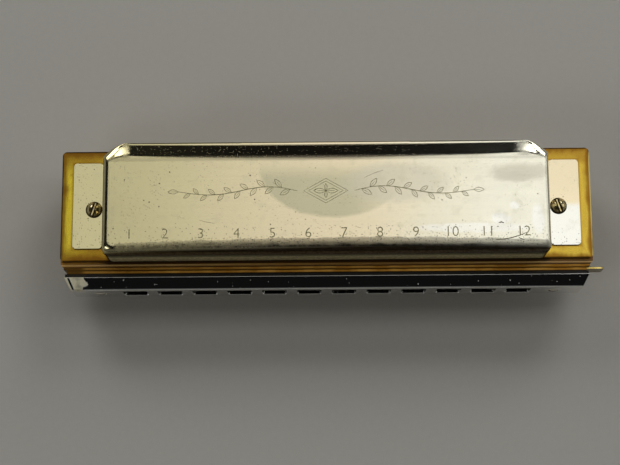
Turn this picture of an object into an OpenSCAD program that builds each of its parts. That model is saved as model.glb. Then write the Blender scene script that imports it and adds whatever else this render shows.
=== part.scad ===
// Slide chromatic harmonica, lying on its bottom cover.
// A wooden comb carries two brass reed plates. Each plate has draw reeds outside, blow reeds inside
// and a thin valve over the far side of every slot, under a stamped cover with an open back.
// In front, a sprung slide with two staggered rows of windows runs between a back plate and a
// channel, behind the mouthpiece. Its bare tang stands out at the right end.
// +X runs along the holes to the tang, -Y is the mouth side and +Z is up.
// The origin is the middle of the bottom cover's flat panel, on the surface that it lies on.

/* [Holes] */
// Number of mouth holes
hole_count = 12; // [8:1:16]
// Distance between mouth holes
hole_pitch = 9.25; // [8.8:0.05:10]
// Width of a mouth hole
mouth_hole_w = 6.4; // [5.6:0.1:7]
// Corner radius of a mouth hole
mouth_hole_r = 0.5; // [0.2:0.1:1]
// Width of the windows in the comb, the back plate and the slide
window_w = 4.3; // [3.6:0.05:4.3]
// Height of one row of windows
window_h = 2.4; // [2:0.05:2.6]
// Bar between the two rows of windows
window_bar = 1.1; // [0.8:0.05:1.4]

/* [Comb] */
// Solid wood past the holes, at each end of the comb
end_block = 15; // [14:0.5:20]
// Thickness of the comb
comb_t = 8; // [7.6:0.1:10]
// How far the comb stands out in front of the reed plates
comb_lip = 1.4; // [0.8:0.1:2.5]
// Corner radius of the comb and the reed plates
corner_r = 1.2; // [0.5:0.1:2]
// Wood between two cells
cell_wall = 1.9; // [1.4:0.1:2.4]
// Wood between an upper cell and the lower one
cell_web = 1; // [0.8:0.1:1.6]
// Wood in front of the cells, which the windows pass through
front_rail = 4; // [3.4:0.1:5]
// Wood behind the cells
back_rail = 2.4; // [2:0.1:3.4]

/* [Reed plates] */
// Depth of a reed plate, front to back
plate_d = 30; // [28.5:0.5:34]
// Thickness of a reed plate
plate_t = 1; // [0.8:0.05:1.2]
// Shortest reed slot, at the last hole
slot_short = 10; // [8:0.5:13]
// Diameter of a plate nail
nail_d = 1; // [0.7:0.05:1.2]
// Length of a plate nail
nail_l = 4; // [3:0.1:4.4]

/* [Reeds and valves] */
// Distance between the two reeds of a cell
reed_spacing = 3.4; // [3.3:0.05:3.5]
// Width of a reed's tongue
reed_w = 2.1; // [1.7:0.05:2.2]
// Thickness of a reed
reed_t = 0.3; // [0.2:0.05:0.4]
// Gap round a tongue in its slot
reed_gap = 0.08; // [0.04:0.01:0.12]
// Width of the pad at a reed's riveted end
pad_w = 2.8; // [2.5:0.05:3]
// Length of that pad
pad_l = 3.6; // [3.2:0.1:4]
// Plate left between a pad and the end of its cell
pad_edge = 0.6; // [0.4:0.05:0.9]
// Diameter of a rivet
rivet_d = 1; // [0.8:0.05:1.2]
// Diameter of a rivet's head
rivet_head_d = 1.8; // [1.5:0.1:2.2]
// Height of a rivet's head
rivet_head_h = 0.35; // [0.2:0.05:0.5]
// Thickness of a valve
valve_t = 0.2; // [0.15:0.05:0.3]
// How far a valve laps over the plate round its slot
valve_lap = 0.35; // [0.2:0.05:0.4]
// Length of a valve's glued end
valve_root = 1.1; // [0.6:0.1:1.2]

/* [Covers] */
// Height of a cover above its reed plate
cover_h = 9; // [8.4:0.1:11]
// Thickness of a cover's sheet
sheet_t = 0.6; // [0.4:0.05:0.8]
// From the comb's end to a cover's end wall
cover_end = 11.5; // [11:0.1:12.5]
// From the comb's end to the end of a flange
flange_end = 3.1; // [2:0.1:4]
// Depth of a flange, front to back
flange_d = 23.4; // [18:0.1:24]
// Corner radius of a flange
flange_r = 1.2; // [0.5:0.1:2]
// Radius in the bend between a flange and its end wall
bend_r = 0.4; // [0.2:0.05:0.6]
// Radius of a cover's front shoulder
front_r = 3.7; // [2.5:0.1:4.5]
// Radius of its back shoulder
back_r = 5; // [3.5:0.1:6]
// Radius of its end shoulders
end_r = 2.1; // [1.2:0.1:3]
// Radius of its front corners, seen from above
front_corner_r = 2.2; // [1.5:0.1:3]
// Radius of its back corners, seen from above
back_corner_r = 3.6; // [2.5:0.1:4]
// How far its back shoulder stands out behind the reed plate
back_overhang = 0.2; // [0:0.05:0.6]
// Height of the opening along the back
back_open_h = 5; // [4.4:0.1:5.4]
// Length of the back that stays closed at each end
back_post = 7; // [5:0.5:10]

/* [Cover bolts] */
// Diameter of a cover bolt
bolt_d = 2.4; // [2:0.1:2.8]
// Diameter of a bolt's or nut's round head
bolt_head_d = 4.5; // [4:0.1:5]
// Height of a round head
bolt_head_h = 1.5; // [1.2:0.1:2]
// Distance of the bolts in front of the reed plates' middle
bolt_forward = 1.1; // [0:0.1:2]
// Width of the driver slots
driver_slot_w = 0.7; // [0.5:0.05:0.9]
// Depth of the driver slots
driver_slot_d = 0.7; // [0.4:0.05:0.8]
// Turn of the left bolt's driver slot from front to back
left_slot_turn = -20; // [-90:1:90]
// Turn of the right bolt's driver slot from front to back
right_slot_turn = 17; // [-90:1:90]

/* [Slide] */
// Thickness of the back plate
back_plate_t = 0.6; // [0.4:0.05:0.8]
// From the comb's end to the back plate's end
back_plate_end = 0.85; // [0.5:0.05:1.5]
// Thickness of the slide
slide_t = 0.55; // [0.4:0.05:0.8]
// Thickness of the channel's front wall
channel_t = 0.55; // [0.4:0.05:0.8]
// Thickness of the channel's lips over and under the slide
channel_lip_t = 0.5; // [0.35:0.05:0.6]
// From the comb's end to the channel's end
channel_end = 1.75; // [1.2:0.05:2.2]
// How far the tang stands out past the comb's end
tang_reach = 3; // [1:0.1:6]
// Height of the tang
tang_h = 5; // [4:0.1:5.6]
// Corner radius of the tang
tang_r = 0.8; // [0.3:0.1:1.5]
// Metal left past the slide's stop slot at its left end
slide_tail = 1.4; // [1:0.1:1.8]

/* [Slide spring] */
// Diameter of the spring's wire
wire_d = 0.8; // [0.6:0.05:0.9]
// Radius of the spring's bend, at the middle of the wire
spring_bend_r = 1.45; // [1.2:0.05:1.6]
// From the comb's front to the middle of that bend
spring_l = 9.2; // [7:0.1:10]
// Wood between the spring and the comb's end
spring_end = 1.9; // [1.5:0.1:2.3]
// Wood between the spring's pocket and the mouthpiece screw
pocket_floor = 0.3; // [0.2:0.05:0.4]

/* [Mouthpiece] */
// Height of the mouthpiece at its rear edge
mouth_h = 11.2; // [10.4:0.1:13]
// Depth of the mouthpiece from its rear edge to its front
mouth_d = 3.5; // [3:0.1:6]
// Depth of the rebate behind the rear edge
mouth_rebate = 1.1; // [0.6:0.1:2]
// Slope of its top and bottom towards the front
mouth_slope = 8; // [0:0.5:14]
// Radius of the lip round its front
lip_r = 0.7; // [0.4:0.05:1]
// From the comb's end to the mouthpiece's rear end
mouth_end = 1.2; // [0.6:0.1:2]
// How much shorter the front is, at each end
mouth_taper = 1.8; // [0.6:0.1:3]
// Diameter of a mouthpiece screw
screw_d = 2; // [1.6:0.1:2.2]
// Diameter of its head
screw_head_d = 3; // [2.6:0.1:3.6]
// How far its head stands proud
screw_head_h = 0.35; // [0.2:0.05:0.6]
// Depth of its countersink
screw_sink = 0.7; // [0.4:0.05:0.9]
// From the comb's end to the screws
screw_end = 10.3; // [9.8:0.1:11]
// Length of a screw in the comb
screw_grip = 6; // [4:0.5:8]

/* [Fits] */
// Gap round rivets and nails
pin_gap = 0.03; // [0.01:0.01:0.06]
// Gap round bolts, screws and the spring's wire
bolt_gap = 0.1; // [0.05:0.01:0.15]
// Gap between a bolt's head and the bend of the cover
head_gap = 0.04; // [0.02:0.01:0.1]
// Gap on each side of the slide in its channel, and at its stops
slide_gap = 0.04; // [0.02:0.01:0.08]
// Gap round the spring in its pocket
spring_gap = 0.2; // [0.1:0.05:0.3]

/* [Hidden] */
$fn = 48;
// Length by which a cutting shape passes the surface that it cuts
past = 1;

comb_l = hole_count * hole_pitch + 2 * end_block;
comb_d = plate_d + comb_lip;
comb_top = comb_t / 2;
plate_top = comb_top + plate_t;
mid_z = cover_h + plate_top;
plate_back = plate_d / 2;
plate_front = -plate_d / 2;
comb_front = plate_front - comb_lip;

cell_w = hole_pitch - cell_wall;
cell_h = (comb_t - cell_web) / 2;
cell_front = comb_front + front_rail;
cell_back = plate_back - back_rail;
travel = hole_pitch / 2;
window_z = (window_bar + window_h) / 2;
mouth_hole_h = 2 * window_h + window_bar;

slot_w = reed_w + 2 * reed_gap;
rivet_inset = pad_edge + pad_l / 2;
slot_inset = pad_edge + pad_l;
// Longest reed slot, at the first hole: its valve reaches the roots of the other row's valves
slot_long = cell_back - cell_front - 2 * slot_inset + valve_root - valve_lap;

wall_x = comb_l / 2 - cover_end;
flange_x = comb_l / 2 - flange_end;
cover_front = plate_front;
cover_back = plate_back + back_overhang;
bolt_x = wall_x + bend_r + bolt_head_d / 2 + head_gap;
bolt_l = 2 * (plate_top + sheet_t);
// How far a bolt's shank reaches into its head and into its nut, below their driver slots
bolt_thread = (bolt_head_h - driver_slot_d) / 2;

back_plate_front = comb_front - back_plate_t;
slide_back = back_plate_front - slide_gap;
slide_front = slide_back - slide_t;
channel_back = slide_front - slide_gap;
channel_front = channel_back - channel_t;
channel_x = comb_l / 2 - channel_end;
slide_h = comb_t - 2 * (channel_lip_t + slide_gap);
screw_x = comb_l / 2 - screw_end;
stop_r = screw_d / 2 + slide_gap;

spring_fixed_x = comb_l / 2 - spring_end - wire_d / 2;
spring_bend_x = spring_fixed_x - spring_bend_r;
spring_leg_x = spring_bend_x - spring_bend_r;
spring_bend_y = comb_front + spring_l;
pocket_h = wire_d + 2 * spring_gap;
spring_z = screw_d / 2 + bolt_gap + pocket_floor + pocket_h / 2;

mouth_rear = channel_front - mouth_rebate;
mouth_front = mouth_rear - mouth_d;
mouth_x = comb_l / 2 - mouth_end;

// Middle of each hole along the comb
function hole_x(i) = (i - (hole_count - 1) / 2) * hole_pitch;

// Length of the reed slot at each hole, from the long low notes to the short high ones
function slot_l(i) = slot_long + (slot_short - slot_long) * i / (hole_count - 1);

// Nails stand in the wood between every second pair of cells, in the front and back rails
nail_xs = [for (i = [0 : 2 : hole_count - 2]) hole_x(i) + hole_pitch / 2];
nail_ys = [(cell_front + plate_front) / 2, (cell_back + plate_back) / 2];

// Places a top piece, which is drawn about the comb's middle
module upper() {
    translate([0, 0, mid_z]) children();
}

// Places the same piece upside down on the comb's other face
module lower() {
    translate([0, 0, mid_z]) mirror([0, 0, 1]) children();
}

// Draws its children at both ends of the comb, along X
module both_ends(x) {
    for (side = [-1, 1])
        translate([side * x, 0, 0]) children();
}

// Turns an outline drawn in X and Z into a prism that runs from y0 back to y1
module prism_y(y0, y1) {
    translate([0, y1, 0]) rotate([90, 0, 0]) linear_extrude(height = y1 - y0) children();
}

module rounded_rect(w, d, r) {
    square([w, d - 2 * r], center = true);
    square([w - 2 * r, d], center = true);
    for (x = [-1, 1], y = [-1, 1])
        translate([x * (w / 2 - r), y * (d / 2 - r)]) circle(r = r);
}

// Outline from x0 to x1 and from base to h, whose two top corners are rounded
module shouldered(x0, x1, base, h, r0, r1) {
    polygon([
        [x0, base], [x0, h - r0], [x0 + r0, h - r0], [x0 + r0, h],
        [x1 - r1, h], [x1 - r1, h - r1], [x1, h - r1], [x1, base]
    ]);
    translate([x0 + r0, h - r0]) circle(r = r0);
    translate([x1 - r1, h - r1]) circle(r = r1);
}

// Outline of one row of windows, 1 for the upper and -1 for the lower, shifted along the comb
module windows(row, shift) {
    for (i = [0 : hole_count - 1])
        translate([hole_x(i) + shift, row * window_z]) square([window_w, window_h], center = true);
}

// Low round head with a driver slot, standing on Z = 0
module round_head(turn) {
    head_r = bolt_head_d / 2;
    dome_r = (head_r * head_r + bolt_head_h * bolt_head_h) / (2 * bolt_head_h);
    difference() {
        rotate_extrude() intersection() {
            translate([0, bolt_head_h - dome_r]) circle(r = dome_r);
            square([head_r, bolt_head_h]);
        }
        rotate([0, 0, turn]) translate([0, 0, bolt_head_h + past / 2 - driver_slot_d / 2])
            cube([driver_slot_w, bolt_head_d + past, driver_slot_d + past], center = true);
    }
}

// Comb: cells from both faces, windows through its front rail and a pocket for the spring
module comb() {
    color("saddlebrown") upper() difference() {
        translate([0, (plate_back + comb_front) / 2, -comb_top])
            linear_extrude(height = comb_t) rounded_rect(comb_l, comb_d, corner_r);
        for (i = [0 : hole_count - 1], face = [-1, 1])
            translate([
                hole_x(i) - cell_w / 2,
                cell_front,
                face > 0 ? cell_web / 2 : -comb_top - past
            ]) cube([cell_w, cell_back - cell_front, cell_h + past]);
        prism_y(comb_front - past, cell_front + past) {
            windows(1, 0);
            windows(-1, 0);
        }
        for (x = nail_xs, y = nail_ys, face = [-1, 1])
            translate([x, y, face * comb_top])
                cylinder(d = nail_d + 2 * pin_gap, h = 2 * (nail_l - plate_t + pin_gap), center = true);
        both_ends(bolt_x) translate([0, -bolt_forward, 0])
            cylinder(d = bolt_d + 2 * bolt_gap, h = comb_t + 2 * past, center = true);
        both_ends(screw_x) prism_y(comb_front - past, comb_front + screw_grip + past)
            circle(d = screw_d + 2 * bolt_gap);
        spring_pocket();
    }
}

// Flat pocket in the comb's right end, wide enough for the spring's leg at full travel
module spring_pocket() {
    pocket_left = spring_leg_x - travel - wire_d / 2 - spring_gap;
    pocket_right = spring_fixed_x + wire_d / 2;
    pocket_back = spring_bend_y + spring_bend_r + wire_d / 2 + spring_gap;
    translate([pocket_left, comb_front - past, spring_z - pocket_h / 2])
        cube([pocket_right - pocket_left, pocket_back - comb_front + past, pocket_h]);
}

// Places a child at each reed of a plate: draw reeds run back from the front, blow reeds forward
module at_reeds(draw) {
    for (i = [0 : hole_count - 1]) {
        $slot_l = slot_l(i);
        translate([hole_x(i) + (draw ? -1 : 1) * reed_spacing / 2, draw ? cell_front : cell_back])
            rotate([0, 0, draw ? 0 : 180]) children();
    }
}

module slot_outline() {
    translate([-slot_w / 2, slot_inset]) square([slot_w, $slot_l]);
}

module rivet_hole() {
    translate([0, rivet_inset]) circle(d = rivet_d + 2 * pin_gap);
}

// Riveted pad and the tongue that swings through the slot
module reed_outline() {
    difference() {
        union() {
            translate([-pad_w / 2, pad_edge]) square([pad_w, pad_l]);
            translate([-reed_w / 2, pad_edge]) square([reed_w, pad_l + $slot_l - reed_gap]);
        }
        rivet_hole();
    }
}

module valve_outline() {
    valve_w = slot_w + 2 * valve_lap;
    translate([-valve_w / 2, slot_inset - valve_root])
        square([valve_w, $slot_l + valve_root + valve_lap]);
}

module reed_plate() {
    translate([0, 0, comb_top]) linear_extrude(height = plate_t) difference() {
        rounded_rect(comb_l, plate_d, corner_r);
        for (draw = [true, false])
            at_reeds(draw) {
                slot_outline();
                rivet_hole();
            }
        for (x = nail_xs, y = nail_ys)
            translate([x, y]) circle(d = nail_d + 2 * pin_gap);
        both_ends(bolt_x) translate([0, -bolt_forward]) circle(d = bolt_d + 2 * bolt_gap);
    }
}

module draw_reeds() {
    translate([0, 0, plate_top]) linear_extrude(height = reed_t) at_reeds(true) reed_outline();
}

module blow_reeds() {
    translate([0, 0, comb_top - reed_t]) linear_extrude(height = reed_t) at_reeds(false) reed_outline();
}

// Rivet with its head on the reed's pad and its other end flush with the plate
module rivet() {
    cylinder(d = rivet_d, h = plate_t + reed_t + rivet_head_h / 2);
    translate([0, 0, plate_t + reed_t]) cylinder(d = rivet_head_d, h = rivet_head_h);
}

module reed_rivets() {
    translate([0, 0, comb_top]) at_reeds(true) translate([0, rivet_inset]) rivet();
    translate([0, 0, plate_top]) at_reeds(false) translate([0, rivet_inset]) mirror([0, 0, 1]) rivet();
}

module outer_valves() {
    translate([0, 0, plate_top]) linear_extrude(height = valve_t) at_reeds(false) valve_outline();
}

module inner_valves() {
    translate([0, 0, comb_top - valve_t]) linear_extrude(height = valve_t) at_reeds(true) valve_outline();
}

// Pointed nails, flush with the plate's outer face
module plate_nails() {
    for (x = nail_xs, y = nail_ys)
        translate([x, y, plate_top]) mirror([0, 0, 1]) {
            cylinder(d = nail_d, h = nail_l - nail_d);
            translate([0, 0, nail_l - nail_d]) cylinder(d1 = nail_d, d2 = nail_d / 4, h = nail_d);
        }
}

// Outline of a cover seen from above, drawn in by inset
module cover_plan(inset) {
    x = wall_x - inset;
    y0 = cover_front + inset;
    y1 = cover_back - inset;
    r0 = front_corner_r - inset;
    r1 = back_corner_r - inset;
    polygon([
        [-x, y0 + r0], [-x + r0, y0 + r0], [-x + r0, y0], [x - r0, y0], [x - r0, y0 + r0], [x, y0 + r0],
        [x, y1 - r1], [x - r1, y1 - r1], [x - r1, y1], [-x + r1, y1], [-x + r1, y1 - r1], [-x, y1 - r1]
    ]);
    for (side = [-1, 1]) {
        translate([side * (x - r0), y0 + r0]) circle(r = r0);
        translate([side * (x - r1), y1 - r1]) circle(r = r1);
    }
}

// Filled form of a cover on Z = 0: its long section, its end section and its plan, all drawn in by inset
module cover_form(inset) {
    base = inset > 0 ? -past : 0;
    top = cover_h - inset;
    intersection() {
        rotate([90, 0, 90]) linear_extrude(height = 2 * wall_x + past, center = true)
            shouldered(cover_front + inset, cover_back - inset, base, top, front_r - inset, back_r - inset);
        rotate([90, 0, 0]) linear_extrude(height = 2 * plate_d, center = true)
            shouldered(-wall_x + inset, wall_x - inset, base, top, end_r - inset, end_r - inset);
        translate([0, 0, base]) linear_extrude(height = top - base) cover_plan(inset);
    }
}

// Flange outside the right end wall, with the bend that joins it to the wall
module cover_flange() {
    length = flange_x - wall_x;
    linear_extrude(height = sheet_t) {
        translate([wall_x + length / 2, 0]) rounded_rect(length, flange_d, flange_r);
        translate([wall_x - sheet_t / 2, -flange_d / 2])
            square([sheet_t / 2 + flange_r, flange_d]);
    }
    prism_y(-flange_d / 2 + flange_r, flange_d / 2 - flange_r) difference() {
        translate([wall_x - sheet_t / 2, sheet_t / 2]) square([sheet_t / 2 + bend_r, sheet_t / 2 + bend_r]);
        translate([wall_x + bend_r, sheet_t + bend_r]) circle(r = bend_r);
    }
}

// Stamped cover on the reed plate's outer face: a shell with an open back and two end flanges
module cover() {
    opening_l = 2 * (wall_x - back_post);
    translate([0, 0, plate_top]) difference() {
        union() {
            difference() {
                cover_form(0);
                cover_form(sheet_t);
                translate([-opening_l / 2, cover_back - back_r, -past])
                    cube([opening_l, back_r + past, back_open_h + past]);
            }
            cover_flange();
            mirror([1, 0, 0]) cover_flange();
        }
        both_ends(bolt_x) translate([0, -bolt_forward, -past])
            cylinder(d = bolt_d + 2 * bolt_gap, h = sheet_t + 2 * past);
    }
}

// Bolts through both covers, both plates and the comb, with round heads on top
module cover_bolts() {
    color("darkgoldenrod") upper() for (side = [-1, 1])
        translate([side * bolt_x, -bolt_forward, 0]) {
            translate([0, 0, -bolt_l / 2 - bolt_thread]) cylinder(d = bolt_d, h = bolt_l + 2 * bolt_thread);
            translate([0, 0, bolt_l / 2]) round_head(side < 0 ? left_slot_turn : right_slot_turn);
        }
}

// Round nuts under the bottom cover, bored for the bolts' ends
module cover_nuts() {
    color("darkgoldenrod") lower() both_ends(bolt_x)
        translate([0, -bolt_forward, bolt_l / 2]) difference() {
            round_head(0);
            translate([0, 0, -past]) cylinder(d = bolt_d + 2 * pin_gap, h = bolt_thread + pin_gap + past);
        }
}

// Back plate of the slide, flat on the comb's front
module slide_back_plate() {
    length = comb_l - 2 * back_plate_end;
    color("peru") upper() prism_y(back_plate_front, comb_front) difference() {
        square([length, comb_t], center = true);
        windows(1, 0);
        windows(-1, 0);
        both_ends(screw_x) circle(d = screw_d + 2 * bolt_gap);
        spring_slot();
    }
}

// Slot that lets the spring's leg swing with the slide
module spring_slot() {
    slot_r = wire_d / 2 + spring_gap;
    for (x = [spring_leg_x - travel, spring_leg_x])
        translate([x, spring_z]) circle(r = slot_r);
    translate([spring_leg_x - travel, spring_z - slot_r]) square([travel, 2 * slot_r]);
}

// Slide: upper windows open at rest, lower ones open when it is pressed in, with stop slots and a tang
module slide() {
    left = -screw_x - stop_r - slide_tail;
    right = channel_x - slide_gap;
    tang_x = comb_l / 2 + tang_reach;
    color("gold") upper() prism_y(slide_front, slide_back) difference() {
        union() {
            translate([left, -slide_h / 2]) square([right - left, slide_h]);
            translate([(right + tang_x) / 2 - tang_r, 0])
                rounded_rect(tang_x - right + 2 * tang_r, tang_h, tang_r);
        }
        windows(1, 0);
        windows(-1, travel);
        both_ends(screw_x) stop_slot();
        translate([spring_leg_x, spring_z]) circle(d = wire_d + 2 * bolt_gap);
    }
}

// Slot round a mouthpiece screw, as long as the slide's travel
module stop_slot() {
    for (x = [0, travel])
        translate([x, 0]) circle(r = stop_r);
    translate([0, -stop_r]) square([travel, 2 * stop_r]);
}

// Channel: a front wall with the mouth holes, and lips over and under the slide
module slide_channel() {
    color("peru") upper() {
        prism_y(channel_front, channel_back) difference() {
            square([2 * channel_x, comb_t], center = true);
            mouth_holes();
            both_ends(screw_x) circle(d = screw_d + 2 * bolt_gap);
        }
        for (face = [-1, 1])
            prism_y(channel_back, back_plate_front)
                translate([0, face * (comb_top - channel_lip_t / 2)])
                    square([2 * channel_x, channel_lip_t], center = true);
    }
}

module mouth_holes() {
    for (i = [0 : hole_count - 1])
        translate([hole_x(i), 0]) rounded_rect(mouth_hole_w, mouth_hole_h, mouth_hole_r);
}

// Hairpin spring: one leg bears on the comb, the other reaches through the back plate into the slide
module slide_spring() {
    leg_end = slide_front + slide_gap;
    color("silver") upper() translate([spring_bend_x, spring_bend_y, spring_z]) {
        rotate_extrude(angle = 180) translate([spring_bend_r, 0]) circle(d = wire_d);
        translate([spring_bend_r, 0, 0]) rotate([90, 0, 0]) cylinder(d = wire_d, h = spring_l - spring_gap);
        translate([-spring_bend_r, 0, 0]) rotate([90, 0, 0]) cylinder(d = wire_d, h = spring_bend_y - leg_end);
    }
}

// Section of the mouthpiece in Y and Z: a rebate, a sloping top and bottom and a rounded lip
module mouth_section() {
    lip_y = mouth_front + lip_r;
    slope_z = mouth_h / 2 - tan(mouth_slope) * (mouth_rear - lip_y);
    lip_z = slope_z - lip_r / cos(mouth_slope);
    tangent = [lip_y - lip_r * sin(mouth_slope), lip_z + lip_r * cos(mouth_slope)];
    half = [
        [channel_front, comb_top], [mouth_rear, comb_top], [mouth_rear, mouth_h / 2],
        tangent, [lip_y, lip_z], [mouth_front, lip_z]
    ];
    last = len(half) - 1;
    polygon(concat(half, [for (i = [last : -1 : 0]) [half[i].x, -half[i].y]]));
    for (face = [-1, 1])
        translate([lip_y, face * lip_z]) circle(r = lip_r);
}

// Mouthpiece: its section along the comb, with ends that draw in towards the front
module mouthpiece() {
    front_x = mouth_x - mouth_taper;
    color("lightgray") upper() difference() {
        intersection() {
            rotate([90, 0, 90]) linear_extrude(height = 2 * mouth_x, center = true) mouth_section();
            translate([0, 0, -mouth_h]) linear_extrude(height = 2 * mouth_h) polygon([
                [-mouth_x, channel_front], [mouth_x, channel_front], [mouth_x, mouth_rear],
                [front_x, mouth_front], [-front_x, mouth_front], [-mouth_x, mouth_rear]
            ]);
        }
        prism_y(mouth_front - past, channel_front + past) {
            mouth_holes();
            both_ends(screw_x) circle(d = screw_d + 2 * bolt_gap);
        }
        both_ends(screw_x) translate([0, mouth_front, 0]) rotate([-90, 0, 0])
            cylinder(d1 = screw_head_d + 2 * bolt_gap, d2 = screw_d + 2 * bolt_gap, h = screw_sink);
    }
}

// Countersunk oval head and shank, through the mouthpiece, channel, slide and back plate into the comb
module mouthpiece_screws() {
    head_r = screw_head_d / 2;
    dome_r = (head_r * head_r + screw_head_h * screw_head_h) / (2 * screw_head_h);
    color("lightgray") upper() both_ends(screw_x) translate([0, mouth_front, 0]) rotate([-90, 0, 0])
        difference() {
            rotate_extrude() {
                polygon([
                    [0, 0], [head_r, 0], [screw_d / 2, screw_sink],
                    [screw_d / 2, comb_front + screw_grip - mouth_front - screw_d / 2],
                    [0, comb_front + screw_grip - mouth_front]
                ]);
                intersection() {
                    translate([0, dome_r - screw_head_h]) circle(r = dome_r);
                    translate([0, -screw_head_h]) square([head_r, screw_head_h]);
                }
            }
            translate([0, 0, -screw_head_h]) cube([screw_head_d + past, driver_slot_w, driver_slot_d], center = true);
        }
}

module top_reed_plate() {
    color("goldenrod") upper() reed_plate();
}

module bottom_reed_plate() {
    color("goldenrod") lower() reed_plate();
}

module top_draw_reeds() {
    color("khaki") upper() draw_reeds();
}

module top_blow_reeds() {
    color("khaki") upper() blow_reeds();
}

module bottom_draw_reeds() {
    color("khaki") lower() draw_reeds();
}

module bottom_blow_reeds() {
    color("khaki") lower() blow_reeds();
}

module top_reed_rivets() {
    color("gold") upper() reed_rivets();
}

module bottom_reed_rivets() {
    color("gold") lower() reed_rivets();
}

module top_outer_valves() {
    color("ivory") upper() outer_valves();
}

module top_inner_valves() {
    color("ivory") upper() inner_valves();
}

module bottom_outer_valves() {
    color("ivory") lower() outer_valves();
}

module bottom_inner_valves() {
    color("ivory") lower() inner_valves();
}

module top_plate_nails() {
    color("darkkhaki") upper() plate_nails();
}

module bottom_plate_nails() {
    color("darkkhaki") lower() plate_nails();
}

module top_cover() {
    color("gainsboro") upper() cover();
}

module bottom_cover() {
    color("gainsboro") lower() cover();
}

comb();
top_reed_plate();
bottom_reed_plate();
top_draw_reeds();
top_blow_reeds();
bottom_draw_reeds();
bottom_blow_reeds();
top_reed_rivets();
bottom_reed_rivets();
top_outer_valves();
top_inner_valves();
bottom_outer_valves();
bottom_inner_valves();
top_plate_nails();
bottom_plate_nails();
top_cover();
bottom_cover();
cover_bolts();
cover_nuts();
slide_back_plate();
slide();
slide_channel();
slide_spring();
mouthpiece();
mouthpiece_screws();
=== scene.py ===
"""Looks of a slide chromatic harmonica: worn nickel covers, tarnished brass and a chromed mouthpiece."""

import math

import bmesh
import bpy
from bpy.props import FloatProperty, FloatVectorProperty, IntProperty, PointerProperty
from mathutils import Euler, Matrix, Vector


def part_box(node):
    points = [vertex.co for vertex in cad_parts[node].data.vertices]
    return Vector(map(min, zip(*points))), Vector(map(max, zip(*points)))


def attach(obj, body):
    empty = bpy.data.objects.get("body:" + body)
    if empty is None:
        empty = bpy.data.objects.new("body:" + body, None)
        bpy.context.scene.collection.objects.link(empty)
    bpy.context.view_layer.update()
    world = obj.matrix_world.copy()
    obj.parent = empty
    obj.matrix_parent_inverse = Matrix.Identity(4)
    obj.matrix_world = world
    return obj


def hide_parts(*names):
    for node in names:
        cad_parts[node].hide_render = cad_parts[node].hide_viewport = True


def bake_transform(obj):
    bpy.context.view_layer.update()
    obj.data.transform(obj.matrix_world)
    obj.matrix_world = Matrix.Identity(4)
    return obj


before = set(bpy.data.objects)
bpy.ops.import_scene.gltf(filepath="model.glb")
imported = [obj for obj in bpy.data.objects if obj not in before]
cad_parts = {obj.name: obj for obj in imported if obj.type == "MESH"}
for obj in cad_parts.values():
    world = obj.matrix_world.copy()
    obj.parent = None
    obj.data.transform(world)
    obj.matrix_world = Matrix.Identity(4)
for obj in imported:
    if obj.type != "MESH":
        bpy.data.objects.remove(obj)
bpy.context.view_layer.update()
COVER_LOW, COVER_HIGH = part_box("top_cover")
PLATE_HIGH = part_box("top_reed_plate")[1]
COMB_LOW, COMB_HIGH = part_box("comb")
SLIDE_LOW, SLIDE_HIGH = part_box("slide")
CHANNEL_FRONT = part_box("slide_channel")[0].y
BOLT_LOW, BOLT_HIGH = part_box("cover_bolts")
# Height of the comb's middle, about which the two covers and plates are mirrored
MIDDLE = (COMB_LOW.z + COMB_HIGH.z) / 2

bl_info = {
    "name": "Slide harmonica",
    "version": (1, 0, 0),
    "blender": (4, 5, 0),
    "location": "3D View > Sidebar > Harmonica",
    "description": "Models and finishes the pieces of a slide chromatic harmonica",
    "category": "Object",
}

# Points along the long sides, in each corner and along each end of a cover
RUN = 161
CORNER = 9
END = 25
# Rings up a cover's shoulder, by the tilt of its surface in degrees, and across half of its panel
SHOULDER_RINGS = (90, 79, 68, 58, 48, 39, 30, 23, 17, 12, 8, 4, 0)
PANEL_RINGS = 14
# Section of a cover's back, in millimetres in from its wall and down from its panel: a flat rolled rim,
# a crease and a slope
BACK_SECTION = (
    (0, 1.3), (0.03, 1.03), (0.09, 0.925), (0.19, 0.858), (0.33, 0.833), (0.9, 0.83), (0.93, 0.9),
    (1.1, 0.86), (1.8, 0.655), (2.8, 0.36), (3.7, 0.115), (4.35, 0.02), (4.95, 0),
)
# The same at the cut back corners, where the crease has run out
CORNER_SECTION = (*BACK_SECTION[:6], (0.93, 0.822), (1.1, 0.78), *BACK_SECTION[8:])
# How straight those corners are cut, from 0 for round to 1, and the power by which they take on that section
CORNER_CUT = 0.6
CORNER_TURN = 1.8
# How far the panel's middle line stops short of its corners, and how much nearer it comes between them
LINE_INSET = 0.008
LINE_REACH = 0.003
# Dents in the top panel: place, half widths and share of the deepest
DENTS = (
    (0.0493, -0.0030, 0.0032, 0.0026, 0.8),
    (0.0452, -0.0066, 0.0028, 0.0022, 1.0),
    (0.0548, -0.0052, 0.0022, 0.0052, 0.9),
    (0.0505, 0.0075, 0.0075, 0.0030, 0.8),
    (0.0300, 0.0090, 0.0160, 0.0024, 0.5),
    (-0.0120, -0.0040, 0.0130, 0.0050, 0.25),
)
# Painted highlights where the dents catch the light, and painted grey reflections, on the top cover: place,
# half widths, strength and raggedness
PAINTED_HIGHLIGHTS = (
    (0.0455, -0.0062, 0.0024, 0.0016, 1, 1),
    (0.0551, -0.0062, 0.0016, 0.0038, 1, 1),
    (0.0492, -0.0028, 0.0014, 0.0011, 1, 1),
    (0.0385, -0.0086, 0.0135, 0.0013, 0.8, 1),
)
GREY_REFLECTIONS = (
    (0.0185, 0.0036, 0.0135, 0.0052, 0.55, 0.5),
    (0.0505, 0.0062, 0.0076, 0.0026, 0.65, 1.2),
)
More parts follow.
